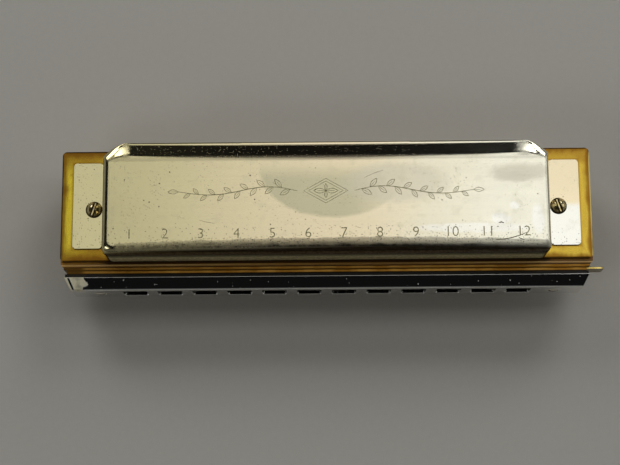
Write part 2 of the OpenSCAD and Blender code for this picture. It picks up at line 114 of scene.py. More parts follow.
# Scratches in the top cover: width and the points that each runs through
SCRATCHES = (
    (0.00034, (0.0448, -0.0073), (0.0455, -0.0071), (0.0461, -0.0074)),
    (0.00022, (0.0498, -0.0112), (0.0504, -0.0116), (0.0513, -0.0119)),
    (0.00008, (0.0100, 0.0050), (0.0126, 0.0062), (0.0150, 0.0070)),
    (0.00008, (-0.0330, -0.0060), (-0.0308, -0.0066), (-0.0290, -0.0069)),
)
# Place of the seam between the slide's back plate and its channel
SEAM_Y = -0.0173
# Direction across the cover bolts' driver slots, seen from above
SLOT_ACROSS = (0.948, 0.317)
# Slope of the mouthpiece's slanted left end from above, and the place that it is measured from
END_SLANT = 0.437
END_Y = -0.0193
# Height of a digit as a share of its type size, and how much its outline is thinned
DIGIT_SHARE = 0.7
DIGIT_THIN = 0.00004
# Width of the floor, how far it lies below the harmonica, and a light's watts to the square metre
FLOOR_SIZE = 6
FLOOR_DROP = 0.0001
WATTS = 4
# Softboxes overhead, which overlap and add up: low and high corners, height and share of the brightness
SOFTBOXES = (
    ("long", (-0.26, 0.06), (1.0, 0.375), 0.9, 0.6),
    ("second", (-0.115, 0.06), (1.0, 0.375), 0.896, 0.1),
    ("third", (-0.03, 0.06), (1.0, 0.375), 0.892, 0.06),
    ("fourth", (0.05, 0.06), (1.0, 0.375), 0.888, 0.06),
    ("small", (0.125, 0.09), (0.3, 0.205), 0.884, 0.1),
)
# Lamps round the harmonica: place, size and share of the brightness
LAMPS = (
    ("back_left", (-0.67, 1.1, 0.95), (0.68, 0.65), 1),
    ("back_right", (0.67, 1.1, 0.95), (0.68, 0.65), 1),
    ("front_left", (-0.85, -0.7, 0.95), (0.4, 0.4), 1),
    ("right", (1.25, 0.2, 0.66), (0.7, 0.6), 0.25),
)
# Pale walls of the studio: their length, then the place, height and share of the brightness of each
WALL_LENGTH = 4.6
WALLS = (
    ("front", (0, -2.4, 0.95), 1.6, 0.45),
    ("back", (0, 2.4, 0.55), 0.9, 1),
    ("left", (-2.4, 0, 0.55), 0.9, 1),
    ("right", (2.4, 0, 0.55), 0.9, 1),
)


def length(name, description, default):
    return FloatProperty(name=name, description=description, default=default, unit="LENGTH", precision=5)


def angle(name, description, degrees):
    return FloatProperty(name=name, description=description, default=math.radians(degrees), subtype="ANGLE")


def brightness(name, description, default):
    return FloatProperty(name=name, description=description, default=default, min=0)


def colour(name, description, *default):
    return FloatVectorProperty(
        name=name, description=description, default=default, size=3, min=0, max=1, subtype="COLOR"
    )


class HarmonicaSizes(bpy.types.PropertyGroup):
    """Sizes of the pieces that are modelled over the solids"""

    wall_x: length("Wall", "Half length of a cover between its end walls", 0.0585)
    sheet: length("Sheet", "Thickness of a cover's sheet", 0.0006)
    front_shoulder: length("Front shoulder", "Radius of a cover's front shoulder", 0.0037)
    back_shoulder: length("Back shoulder", "Width of the rim and slope along a cover's back", 0.00555)
    end_shoulder: length("End shoulder", "Radius of a cover's end shoulders", 0.0016)
    front_corner: length("Front corner", "Radius of a cover's front corners from above", 0.0022)
    back_corner: length("Back corner", "Length of a cover's back corners from above", 0.0056)
    back_corner_d: length("Back corner depth", "Depth of those corners from front to back", 0.0036)
    panel_corner: length("Panel corner", "Radius of the flat panel's front corners", 0.0016)
    panel_cut: length("Panel cut", "Length of the flat panel's cut back corners", 0.0054)
    panel_cut_d: length("Panel cut depth", "Depth of those cut corners from front to back", 0.0015)
    back_bow: length("Back bow", "How much narrower the slope along a cover's back is at its ends", 0.0018)
    front_bow: length("Front bow", "How much narrower its front shoulder is at its ends", 0.0013)
    opening_x: length("Opening", "Half length of the opening in a cover's back", 0.052)
    opening_h: length("Opening height", "Height of the opening in a cover's back", 0.005)
    flange_d: length("Flange", "Depth of a flange from front to back", 0.0234)
    flange_corner: length("Flange corner", "Radius of a flange's corners", 0.001)
    bend: length("Bend", "Radius of the bend between a flange and its wall", 0.0009)
    edge: length("Edge", "Rounding of the cut edges", 0.00012)
    spring_gap: length("Spring gap", "Gap between the spring's held leg and the back plate", 0.0002)
    rebate: length("Rebate", "Depth of the mouthpiece's rebate behind its rear edge", 0.0011)
    dent: length("Dent", "Depth of the deepest dent in the top cover", 0.00016)
    number_h: length("Number", "Height of a hole number", 0.0027)
    number_pitch: length("Number spacing", "Distance between two hole numbers", 0.00931)
    number_y: length("Number place", "Place of the hole numbers from front to back", -0.00945)
    ornament_y: length("Ornament place", "Place of the leaf ornament from front to back", 0.0016)
    line_w: length("Line", "Width of the ornament's lines", 0.00017)
    mark_h: length("Mark", "Height at which the marks stand on the panel", 0.000014)
    numbers: IntProperty(name="Numbers", description="How many hole numbers there are", default=12, min=1)


class HarmonicaColours(bpy.types.PropertyGroup):
    """Colours of the finishes"""

    nickel_warm: colour("Warm nickel", "Nickel at the low notes", 0.68, 0.61, 0.335)
    nickel_rosy: colour("Rosy nickel", "Nickel between them", 0.80, 0.69, 0.46)
    nickel_pale: colour("Pale nickel", "Nickel at the high notes", 0.87, 0.84, 0.68)
    # Colour of the painted highlights on the top cover
    nickel_highlight: colour("White nickel", "Rubbed patches at the high notes", 0.94, 0.93, 0.85)
    flange_white: colour("White flange", "Front of the right flange", 0.82, 0.81, 0.72)
    # Colour of the painted grey reflections on the top cover
    nickel_reflection_grey: colour("Hazy nickel", "Grey haze in pale nickel", 0.60, 0.56, 0.44)
    # Colour of a painted grey-green reflection, also used for random mottle
    nickel_mottle_and_reflection: colour("Stained nickel", "Stain in the middle of a cover", 0.51, 0.48, 0.31)
    # These two colours are a painted olive reflection on the front shoulder and wall
    grime: colour("Grime", "Tarnish low on a cover's front shoulder", 0.27, 0.245, 0.13)
    olive_reflection_low: colour("Low grime", "Tarnish on a cover's front wall", 0.95, 0.88, 0.52)
    pit: colour("Pit", "Pits and scratches in the plating", 0.13, 0.10, 0.05)
    mark: colour("Mark", "Struck numbers and ornament", 0.36, 0.33, 0.19)
    brass: colour("Brass", "Tarnished brass", 0.68, 0.47, 0.06)
    brass_low: colour("Yellow brass", "Tarnished brass at the low notes", 0.98, 0.75, 0.06)
    browned: colour("Browned brass", "Brass along its edges", 0.32, 0.14, 0.016)
    # Nearly black: mostly painted shade and dark reflections, also blackened brass and wood
    burnt_and_shade: colour("Burnt brown", "Edges and seams that have gone nearly black", 0.035, 0.018, 0.005)
    # Painted shade in the mouthpiece's rebate
    rebate_shade: colour("Soot", "Dirt packed into the mouthpiece's rebate", 0.008, 0.006, 0.003)
    channel: colour("Channel", "Browned brass of the slide's channel", 0.34, 0.18, 0.035)
    slide_brass: colour("Slide brass", "Bright brass of the slide", 0.80, 0.63, 0.22)
    reed_brass: colour("Reed brass", "Filed brass of the reeds", 0.78, 0.60, 0.25)
    bolt: colour("Bolt", "Brass of the cover bolts", 0.74, 0.62, 0.32)
    chrome: colour("Chrome", "Plating of the mouthpiece", 0.80, 0.80, 0.77)
    # Dulled chrome, also the painted highlight on the slanted end's edge
    dulled_and_highlit: colour("Dulled chrome", "Dulled patch at the low end of the mouthpiece", 0.85, 0.80, 0.58)
    smear: colour("Smear", "Smears and pits in chrome", 0.35, 0.33, 0.27)
    screw: colour("Screw", "Worn plating of the mouthpiece's screws", 0.66, 0.63, 0.55)
    steel: colour("Steel", "Spring wire", 0.55, 0.55, 0.54)
    steel_dark: colour("Dark steel", "Clouds in the spring wire", 0.30, 0.28, 0.25)
    wood: colour("Wood", "Varnished wood of the comb", 0.52, 0.245, 0.027)
    wood_dark: colour("Dark wood", "Dark grain of the comb", 0.27, 0.115, 0.017)
    # Also a painted highlight along the comb's front edge
    wood_worn_highlight: colour("Worn wood", "Wood whose varnish has worn along an edge", 0.95, 0.64, 0.24)
    valve: colour("Valve", "Thin valve film", 0.80, 0.77, 0.66)
    valve_old: colour("Old valve", "Yellowed patches of the film", 0.66, 0.58, 0.40)
    floor: colour("Floor", "Plain pale floor", 0.62, 0.60, 0.54)


class HarmonicaStage(bpy.types.PropertyGroup):
    """Camera and light"""

    tilt: angle("Tilt", "Angle of the camera from straight above", 12.1)
    yaw: angle("Yaw", "Turn of the view to the side", 0.49)
    roll: angle("Roll", "Turn of the picture", 0.48)
    distance: length("Distance", "From the camera to the comb's middle", 0.4203)
    aside: length("Aside", "How far the view's axis passes beside the comb's middle", 0.00429)
    above: length("Above", "How far the view's axis passes in front of the comb's middle", 0.00644)
    lens: FloatProperty(name="Lens", description="Focal length of the camera", default=90.59, unit="CAMERA")
    soft: brightness("Softboxes", "Brightness of the softboxes together", 1)
    lamp: brightness("Lamps", "Brightness of the corner lamps", 2.4)
    wall: brightness("Walls", "Brightness of the studio's walls", 0.18)
    room: brightness("Room", "Brightness of the room", 0.005)


def combined(operation, swapped=False):
    """An operator of Signal, which adds a Math node."""

    def combine(self, other):
        pair = (other, self) if swapped else (self, other)
        return self.finish.node("ShaderNodeMath", {"operation": operation}, dict(enumerate(pair)))

    return combine


class Signal:
    """A socket's value in a finish, which Python's operators combine through Math nodes"""

    def __init__(self, finish, socket):
        self.finish = finish
        self.socket = socket

    __add__ = combined("ADD")
    __radd__ = combined("ADD", True)
    __sub__ = combined("SUBTRACT")
    __rsub__ = combined("SUBTRACT", True)
    __mul__ = combined("MULTIPLY")
    __rmul__ = combined("MULTIPLY", True)
    least = combined("MINIMUM")
    most = combined("MAXIMUM")

    def __abs__(self):
        return self.finish.node("ShaderNodeMath", {"operation": "ABSOLUTE"}, {0: self})


class Finish:
    """A material that is drawn node by node and ends in one Principled surface. Lengths are in metres."""

    def __init__(self, name):
        self.material = bpy.data.materials.new(name)
        self.material.use_nodes = True
        self.tree = self.material.node_tree
        self.tree.nodes.clear()
        self.place = self.node("ShaderNodeTexCoord", output="Object")
        self.axes = self.node("ShaderNodeSeparateXYZ", values={0: self.place}, output=("X", "Y", "Z"))

    def node(self, kind, settings=None, values=None, output=0):
        """Adds a node with its settings, then its values or links, and returns the named outputs."""
        made = self.tree.nodes.new(kind)
        for key, value in (settings or {}).items():
            setattr(made, key, value)
        for key, value in (values or {}).items():
            if isinstance(value, Signal):
                self.tree.links.new(value.socket, made.inputs[key])
            else:
                made.inputs[key].default_value = value
        if isinstance(output, tuple):
            return tuple(Signal(self, made.outputs[name]) for name in output)
        return Signal(self, made.outputs[output])

    def mapped(self, stretch=(1, 1, 1), shift=(0, 0, 0), turn=(0, 0, 0)):
        values = {"Vector": self.place, "Scale": stretch, "Location": shift, "Rotation": turn}
        return self.node("ShaderNodeMapping", {}, values)

    def noise(self, scale, detail=3, **place):
        """Clouds with scale of them to the metre, stretched, shifted or turned."""
        values = {"Vector": self.mapped(**place), "Scale": scale, "Detail": detail}
        return self.node("ShaderNodeTexNoise", {}, values)

    def smooth(self, value, low, high):
        """0 below low, 1 above high and a smooth step between them."""
        settings = {"interpolation_type": "SMOOTHSTEP"}
        return self.node("ShaderNodeMapRange", settings, {"Value": value, "From Min": low, "From Max": high})

    def fade(self, value, low, high):
        """1 below low, 0 above high and a smooth step between them."""
        return 1 - self.smooth(value, low, high)

    def band(self, value, low, full, last, high):
        """1 from full to last, 0 below low and above high."""
        return self.smooth(value, low, full) * self.fade(value, last, high)

    def specks(self, scale, radius, share, shift):
        """1 in round specks. Scale is cells to the metre, radius is in cells and share of them have one."""
        values = {"Vector": self.mapped(shift=(shift, shift, shift)), "Scale": scale}
        distance, cell = self.node("ShaderNodeTexVoronoi", {}, values, ("Distance", "Color"))
        chance = self.node("ShaderNodeSeparateColor", {}, {"Color": cell}, "Red")
        return self.fade(distance, 0.5 * radius, radius) * self.smooth(chance, 1 - share, 1.01 - share)

    def spot(self, x0, y0, rx, ry, wobble=0):
        """1 in an oval seen from above, soft at its border."""
        x, y = self.axes[:2]
        across = (x - x0) * (1 / rx)
        along = (y - y0) * (1 / ry)
        return self.fade(across * across + along * along + wobble, 0.45, 1.5)

    def spots(self, places, wobble):
        """The strongest of several ovals, each with its place, half widths, strength and raggedness."""
        strongest = None
        for x0, y0, rx, ry, strength, ragged in places:
            spot = strength * self.spot(x0, y0, rx, ry, ragged * wobble)
            strongest = strongest.most(spot) if strongest else spot
        return strongest

    def mix(self, factor, first, second):
        """A colour from first to second."""
        colours = [c if isinstance(c, Signal) else (*c, 1) for c in (first, second)]
        values = {0: factor, 6: colours[0], 7: colours[1]}
        return self.node("ShaderNodeMix", {"data_type": "RGBA"}, values, 2)

    def bump(self, height, strength, distance):
        values = {"Height": height, "Strength": strength, "Distance": distance}
        return self.node("ShaderNodeBump", {}, values, "Normal")

    def surface(self, **values):
        """Ends the finish in a Principled surface and returns its material."""
        named = {key.replace("_", " ").title().replace("Ior", "IOR"): v for key, v in values.items()}
        bsdf = self.node("ShaderNodeBsdfPrincipled", {}, named, "BSDF")
        self.node("ShaderNodeOutputMaterial", {}, {"Surface": bsdf}, ())
        return self.material

    def metal(self, tone, rough, relief, strength, distance, **more):
        """Ends the finish in metal with a fine relief."""
        values = {"base_color": tone, "metallic": 1.0, "roughness": rough, **more}
        return self.surface(normal=self.bump(relief, strength, distance), **values)


def worn_nickel(c, s):
    """Bright plating: warm at one end and pale at the other, pitted and gritty along the front, with painted
    highlights and reflections on the top cover, a painted dark reflection low on the front shoulder and a
    painted olive reflection on the front wall.
    """
    f = Finish("worn_nickel")
    x, y, z = f.axes
    front = 0 - y
    aside = abs(x)
    cloud = f.noise(70, 3)
    mottle = f.noise(330, 4)
    grain = f.smooth(f.noise(1500, 4), 0.42, 0.6)
    wiped = f.noise(1, 4, stretch=(35, 2600, 2600), turn=(0, 0, 0.03))
    even = f.smooth(x, -0.03, 0.04)
    above = f.smooth(z, MIDDLE, MIDDLE + 0.001)

    # The tone along the covers and on the right flange
    drift = x + 0.02 * (cloud - 0.5)
    tone = f.mix(f.smooth(drift, -0.06, 0.005), c.nickel_warm, c.nickel_rosy)
    tone = f.mix(f.smooth(drift, 0.0, 0.05), tone, c.nickel_pale)
    flange = f.smooth(x, 0.0588, 0.0592)
    tone = f.mix(flange, tone, f.mix(f.smooth(y, -0.0016, 0.0003), c.flange_white, c.nickel_rosy))

    # Painted highlights and painted reflections on the top cover
    wobble = 1.6 * (mottle - 0.5)
    # Painted highlights on the dents and a painted bright band
    tone = f.mix(0.75 * f.spots(PAINTED_HIGHLIGHTS, wobble) * (1 - flange) * above, tone, c.nickel_highlight)
    # A painted grey-green reflection behind the middle of the panel
    across = 50 * (x - 0.002)
    along = 74 * (y - 0.0075)
    far = across * across + along * along + 0.15 * (mottle - 0.5)
    painted_reflection = f.fade(far, 0.84, 1.0) * f.fade(y, 0.004, 0.0098) * (1 - 0.8 * f.smooth(x, 0.004, 0.02))
    tone = f.mix(0.85 * painted_reflection * above, tone, c.nickel_mottle_and_reflection)
    # Painted grey reflections
    tone = f.mix(f.spots(GREY_REFLECTIONS, wobble) * above, tone, c.nickel_reflection_grey)
    tone = f.mix(0.2 * f.smooth(mottle, 0.52, 0.75), tone, c.nickel_mottle_and_reflection)

    # Pits where the plating has worn or is handled
    worn = f.smooth(f.noise(120, 3, shift=(3, 1, 2)), 0.42, 0.66)
    worn = worn.most(f.spot(-0.0635, -0.0066, 0.003, 0.0042))
    handled = f.fade(abs(y + 0.0101), 0.0014, 0.0036)
    large = f.specks(760, 0.17, 0.16, 0.4) * worn
    small = f.specks(1900, 0.25, 0.45, 1.7) * (0.1 + 0.35 * worn).most(0.95 * handled)
    pits = large.most(small)
    tone = f.mix(0.8 * pits, tone, c.pit)

    # Grit and crumbs along the brink of the bowed front shoulder, and a painted dark reflection below them
    fore = front - s.front_bow / s.wall_x**2 * (x * x)
    depth = fore + 0.0011 * (mottle - 0.5) - 0.0003 * (1 - even)
    grit = f.band(depth, 0.0104, 0.0112, 0.0119, 0.0131) * f.band(x, -0.0556, -0.0542, 0.0584, 0.0588)
    brink = f.fade(abs(depth - 0.0111), 0.0006, 0.0016)
    crumbs = f.specks(1700, 0.34, 0.75, 3.1) * brink * f.fade(aside, 0.0565, 0.0575)
    tone = f.mix((0.85 - 0.3 * even) * crumbs, tone, c.pit)
    # Painted dark reflection, nearly black, low on the front shoulder
    painted_dark_reflection = f.smooth(0.35 * front + 0.65 * fore - 0.0006 * (1 - even), 0.0124, 0.0132)
    tone = f.mix((0.93 + 0.05 * grain) * painted_dark_reflection, tone, c.burnt_and_shade)

    # Painted olive reflection on the front wall and the foot of the front shoulder, speckled with pits
    foot = f.smooth(front, 0.01475, 0.01495)
    wall = f.fade(abs(z - MIDDLE), 0.0095, 0.0108)
    grime = f.mix(0.35 * (1 - grain), f.mix(wall, c.grime, c.olive_reflection_low), c.pit)
    tone = f.mix(0.92 * foot, tone, grime)

    # Dust on both shoulders, dull ends of the slope along the back, and the wiped panel
    low = f.smooth(fore, 0.0118, 0.0124).most(f.band(y, 0.0105, 0.0112, 0.0136, 0.0142))
    dust = f.specks(2900, 0.22, 0.3, 5.3) * low * f.fade(aside, 0.05, 0.054) * (1 - 0.6 * even)
    faded = f.smooth(x, 0.049, 0.052).most(f.smooth(0 - x, 0.0508, 0.0525))
    faded = faded * f.smooth(y, 0.0105, 0.0112) * f.fade(aside, 0.0527, 0.0541)
    brow = f.band(y, 0.0096, 0.0104, 0.0107, 0.0117) * f.fade(aside, 0.0578, 0.0582)
    ends = f.band(aside, 0.0562, 0.057, 0.0588, 0.0594) * f.fade(y, 0.0085, 0.0105)
    panel = 1 - f.smooth(aside, 0.0562, 0.0572).most(f.smooth(y, 0.0098, 0.0108))
    rough = 0.085 + panel * (0.05 + 0.06 * cloud + 0.05 * wiped)
    rough = rough + 0.25 * pits + 0.09 * ends + 0.2 * foot + 0.16 * brow + 0.42 * dust + 0.2 * faded
    rough = rough + grit * (0.18 + 0.14 * even + (0.24 - 0.12 * even) * grain)
    relief = 0.12 * wiped + 0.08 * mottle - pits + grit * grain
    return f.metal(tone, rough, relief, 0.25, 0.00006, metallic=1.0 - 0.65 * foot, specular_ior_level=0.25)


def struck_mark(name, tone, rest):
    """The dull floor of a struck or scratched line, with crumbs of plating left in it."""
    f = Finish(name)
    crumbs = f.smooth(f.noise(2600, 3), 0.45, 0.7)
    return f.metal(f.mix(crumbs, tone, rest), 0.42 + 0.2 * (1 - crumbs), crumbs, 0.3, 0.00003)


def tarnished_brass(c, flange_y):
    """Plate brass that has browned in from its edges and in blotches, with a painted shadow round the
    cover's flanges and a painted dark reflection on its very rim.
    """
    f = Finish("tarnished_brass")
    x, y = f.axes[:2]
    cloud = f.noise(170, 4)
    spots = f.noise(75, 4, shift=(1, 4, 2))
    streak = f.noise(1, 4, stretch=(900, 90, 900), shift=(2, 1, 5))
    low = f.fade(x, -0.02, 0.02)
    ends = PLATE_HIGH.x - abs(x)
    rim = ends.least(PLATE_HIGH.y - abs(y))
    browned = f.fade(rim + 0.0026 * (cloud - 0.5) + 0.0016 * (streak - 0.5), 0.0003, 0.0019)
    # Painted shadow round the cover's flanges
    flange = (abs(x) - COVER_HIGH.x).most(abs(y) - flange_y)
    flange_shadow = f.fade(flange + 0.0006 * (cloud - 0.5), 0.0001, 0.0007)
    wander = 0.006 * (spots - 0.5)
    back = f.smooth(y + wander, 0.0085 + 0.001 * (1 - low), 0.0138)
    front = f.smooth(wander - y, 0.0095, 0.0138) * low
    blotch = f.smooth(spots, 0.58, 0.7).most(back).most(front)
    blotch = blotch.most(f.spot(0.0695, 0.0142, 0.0042, 0.0034, cloud - 0.5))
    tone = f.mix(0.85 * browned, f.mix(low, c.brass, c.brass_low), c.browned)
    tone = f.mix(0.5 * flange_shadow + (0.6 + 0.22 * low) * blotch * (1 - 0.5 * flange_shadow), tone, c.browned)
    # Painted dark reflection, nearly black, on the plate's very rim
    tone = f.mix(0.9 * f.fade(rim + 0.0003 * (cloud - 0.5), 0.0002, 0.00045), tone, c.burnt_and_shade)
    lined = f.smooth(ends, 0.0003, 0.0005) * f.fade(ends + 0.0008 * (cloud - 0.5), 0.0008, 0.0013)
    tone = f.mix(0.6 * lined * (1 - low), tone, c.browned)
    rubbed_and_shaded = f.smooth(x, 0.0701, 0.0703) * f.smooth(streak, 0.3, 0.5)
    tone = f.mix(0.8 * rubbed_and_shaded, tone, c.slide_brass)
    return f.metal(tone, 0.19 + 0.12 * cloud + 0.1 * browned, cloud, 0.12, 0.00008)


def filed(f, scale):
    """Dark clouds, scale of them to the metre, and fine lines along the comb."""
    return f.smooth(f.noise(scale, 4), 0.35, 0.7), f.noise(1, 3, stretch=(60, 2600, 2600))


def filed_metal(f, tone, rough, cloud, lines):
    """Ends a finish in metal with those clouds and lines."""
    return f.metal(tone, rough + 0.12 * cloud + 0.06 * lines, lines + 0.5 * cloud, 0.15, 0.00004)


def plain_metal(name, tone, dark, spread, scale, rough):
    """Brass or steel with dark clouds in it."""
    f = Finish(name)
    cloud, lines = filed(f, scale)
    return filed_metal(f, f.mix(spread * cloud, tone, dark), rough, cloud, lines)


def seam_brass(c):
    """Browned brass of the slide's plate and channel, with painted shade along their seams and darker at the
    low end.
    """
    f = Finish("seam_brass")
    x, y = f.axes[:2]
    cloud, lines = filed(f, 240)
    # Painted shade along the seams behind, between and before the parts, and darker at the low end
    behind = f.smooth(y, COMB_LOW.y - 0.0002, COMB_LOW.y - 0.00005)
    between = f.fade(abs(y - SEAM_Y + 0.0001 * (cloud - 0.5)), 0.0001, 0.00028)
    before = f.fade(y, CHANNEL_FRONT + 0.00004, CHANNEL_FRONT + 0.00025)
    shade_and_dirt = behind.most(0.85 * between).most(before).most(0.7 * f.fade(x, -0.0655, -0.0635))
    tone = f.mix(0.92 * shade_and_dirt, f.mix(0.8 * cloud, c.channel, c.browned), c.burnt_and_shade)
    return filed_metal(f, tone, 0.28 + 0.2 * shade_and_dirt, cloud, lines)


def slide_brass(c):
    """Bright brass of the slide, with painted shade, nearly black, on its front and back faces."""
    f = Finish("slide_brass")
    y = f.axes[1]
    cloud, lines = filed(f, 260)
    thick = SLIDE_HIGH.y - SLIDE_LOW.y
    # Painted shade on the slide's front and back faces
    rubbed_and_shaded = 1 - f.band(y - SLIDE_LOW.y, 0.00003, 0.0001, thick - 0.0001, thick - 0.00003)
    tone = f.mix(0.8 * rubbed_and_shaded, f.mix(0.4 * cloud, c.slide_brass, c.brass), c.burnt_and_shade)
    return filed_metal(f, tone, 0.18, cloud, lines)


def slotted_brass(c):
    """Polished round heads with a painted dark reflection round their rims and painted shade along both
    sides of their driver slots.
    """
    f = Finish("slotted_brass")
    x, y, z = f.axes
    head = (BOLT_HIGH.y - BOLT_LOW.y) / 2
    out = (abs(x) - (BOLT_HIGH.x - head)) * (1 / head)
    back = (y - (BOLT_LOW.y + BOLT_HIGH.y) / 2) * (1 / head)
    cloud = f.smooth(f.noise(900, 4), 0.4, 0.7)
    beside = abs(SLOT_ACROSS[0] * out + SLOT_ACROSS[1] * back)
    groove = f.band(beside, 0.04, 0.09, 0.22, 0.34) * f.smooth(z, MIDDLE, PLATE_HIGH.z)
    # Painted dark reflection round the rim and painted shade along the slot
    shade_and_dirt = f.smooth(out * out + back * back, 0.5, 0.86).most(groove)
    tone = f.mix(0.93 * shade_and_dirt, f.mix(0.45 * cloud, c.bolt, c.browned), c.burnt_and_shade)
    return f.metal(tone, 0.16 + 0.1 * cloud + 0.25 * shade_and_dirt, cloud, 0.15, 0.00004)


def smears(f, low):
    """Faint smears in plating."""
    return f.smooth(f.noise(1, 4, stretch=(40, 260, 260), turn=(0, 0, 0.3)), low, 0.75)


def screw_chrome(c):
    """Worn plating with smears and a few pits."""
    f = Finish("screw_chrome")
    smear = smears(f, 0.45)
    pits = f.specks(620, 0.16, 0.22, 0.9)
    tone = f.mix(0.12 * smear + 0.6 * pits, c.screw, c.smear)
    return f.metal(tone, 0.2 + 0.05 * smear + 0.25 * pits, 0.1 * smear - pits, 0.25, 0.00005)


def mouth_chrome(c, rebate):
    """Polished plating that has dulled at the low end, with a painted highlight on its slanted end's edge
    and painted shade in the rebate behind its rear edge.
    """
    f = Finish("mouth_chrome")
    x, y, z = f.axes
    smear = smears(f, 0.5)
    blot = f.noise(420, 4, shift=(2, 3, 1))
    pits = f.specks(620, 0.16, 0.22, 0.9).most(f.specks(1500, 0.2, 0.12, 2.3))
    rear = CHANNEL_FRONT - rebate
    # Painted shade in the rebate
    shade_and_dirt = f.smooth(y, rear + 0.00004, rear + 0.0001)
    slant = x + END_SLANT * (y - END_Y)
    patch = f.fade(x + 0.004 * (blot - 0.5), -0.0642, -0.0634) * f.smooth(slant, -0.0681, -0.0678)
    # The slanted end's edge takes a painted highlight
    edge = f.fade(slant, -0.0687, -0.0684)
    dulled_and_highlit = patch.most(edge) * f.smooth(z, MIDDLE + 0.003, MIDDLE + 0.0045)
    tone = f.mix(0.1 * smear + 0.6 * pits, c.chrome, c.smear)
    tone = f.mix(dulled_and_highlit, tone, f.mix(0.5 * f.smooth(blot, 0.5, 0.72), c.dulled_and_highlit, c.pit))
    tone = f.mix(0.97 * shade_and_dirt, tone, c.rebate_shade)
    rough = 0.05 + 0.03 * smear + 0.25 * pits + 0.5 * dulled_and_highlit.most(shade_and_dirt)
    relief = 0.1 * smear - pits + 0.4 * blot * dulled_and_highlit
    return f.metal(tone, rough, relief, 0.25, 0.00005, metallic=1.0 - 0.75 * dulled_and_highlit, specular_ior_level=0.15)


def varnished_wood(c):
    """Brown wood with its grain along the comb under a worn varnish, with a painted highlight along its
    front edge and painted shadow and dirt beside the covers' feet.
    """
    f = Finish("varnished_wood")
    x, y = f.axes[:2]
    bands = f.noise(1, 5, stretch=(22, 520, 520))
    fibre = f.noise(1, 3, stretch=(160, 5200, 5200))
    grain = f.smooth(0.7 * bands + 0.3 * fibre, 0.38, 0.64)
    inset = y - COMB_LOW.y
    # A painted highlight along the front edge, where the varnish is also worn
    lip = f.smooth(inset, 0.0003, 0.00045) * f.fade(inset + 0.0003 * (bands - 0.5), 0.0006, 0.0008)
    # Painted shadow of the covers' feet, with dirt, and near black at the front face
    shade_and_dirt = f.band(inset, 0.0007, 0.0009, 0.0016, 0.002) * f.fade(abs(x), 0.0575, 0.0605)
    tone = f.mix(grain * f.smooth(x, -0.066, -0.056), c.wood, c.wood_dark)
    tone = f.mix(0.9 * lip * (0.25 + 0.75 * f.smooth(abs(x), 0.008, 0.05)), tone, c.wood_worn_highlight)
    tone = f.mix(0.88 * shade_and_dirt.most(f.fade(inset, 0.0001, 0.0002)), tone, c.burnt_and_shade)
    return f.surface(
        base_color=tone,
        specular_ior_level=0.25,
        roughness=0.34 + 0.2 * fibre,
        coat_weight=0.12 * (1 - 0.6 * grain) * (1 - shade_and_dirt),
        coat_roughness=0.2,
        normal=f.bump(fibre + bands, 0.25, 0.00006),
    )


def valve_film(c):
    """Milky film, a little yellowed in patches."""
    f = Finish("valve_film")
    cloud = f.noise(260, 3)
    tone = f.mix(f.smooth(cloud, 0.35, 0.75), c.valve, c.valve_old)
    return f.surface(base_color=tone, roughness=0.42 + 0.15 * cloud, normal=f.bump(cloud, 0.1, 0.00004))


def pale_floor(c):
    """Even matt paper."""
    f = Finish("pale_floor")
    paper = f.noise(600, 4)
    tone = f.mix(0.25 * f.smooth(paper, 0.3, 0.7), c.floor, tuple(0.93 * v for v in c.floor))
    return f.surface(base_color=tone, roughness=0.85 + 0.1 * paper)


def fresh():
    """Leaves edit mode and deselects everything."""
    if bpy.context.mode != "OBJECT":
        bpy.ops.object.mode_set(mode="OBJECT")
    bpy.ops.object.select_all(action="DESELECT")


def take(*pieces):
    """Selects these objects alone. The first is the active one."""
    fresh()
    for piece in pieces:
        piece.select_set(True)
    bpy.context.view_layer.objects.active = pieces[0]


def edit(piece):
    """Opens a piece in edit mode with all of it selected."""
    take(piece)
    bpy.ops.object.mode_set(mode="EDIT")
    bpy.ops.mesh.select_all(action="SELECT")


def pick_faces(test):
    """Selects, in edit mode, the faces that pass a test."""
    bpy.ops.mesh.select_mode(type="FACE")
    bpy.ops.mesh.select_all(action="DESELECT")
    mesh = bpy.context.object.data
    drawn = bmesh.from_edit_mesh(mesh)
    for face in drawn.faces:
        face.select_set(bool(test(face)))
    drawn.select_flush_mode()
    bmesh.update_edit_mesh(mesh)


def outwards(piece):
    """Merges a mesh's doubles and turns its faces outwards."""
    edit(piece)
    bpy.ops.mesh.remove_doubles(threshold=1e-7)
    bpy.ops.mesh.normals_make_consistent(inside=False)
    # Extruding leaves the order of edges and faces open, so they are put in the order of their vertices
    drawn = bmesh.from_edit_mesh(piece.data)
    drawn.verts.index_update()
    for items in (drawn.edges, drawn.faces):
        ordered = sorted(items, key=lambda item: sorted(vertex.index for vertex in item.verts))
        place = {item: i for i, item in enumerate(ordered)}
        items.sort(key=place.get)
    bmesh.update_edit_mesh(piece.data)
    fresh()


def applied(piece, name, kind, **settings):
    """Adds a modifier with its settings to a piece and applies it."""
    take(piece)
    modifier = piece.modifiers.new(name, kind)
    for key, value in settings.items():
        setattr(modifier, key, value)
    bpy.ops.object.modifier_apply(modifier=modifier.name)


def flattened(piece):
    """Lets a piece's large flat faces stay flat, so that only its rounded edges turn the light."""
    edit(piece)
    bpy.ops.mesh.customdata_custom_splitnormals_clear()
    applied(piece, "flat_faces", "WEIGHTED_NORMAL", keep_sharp=True)


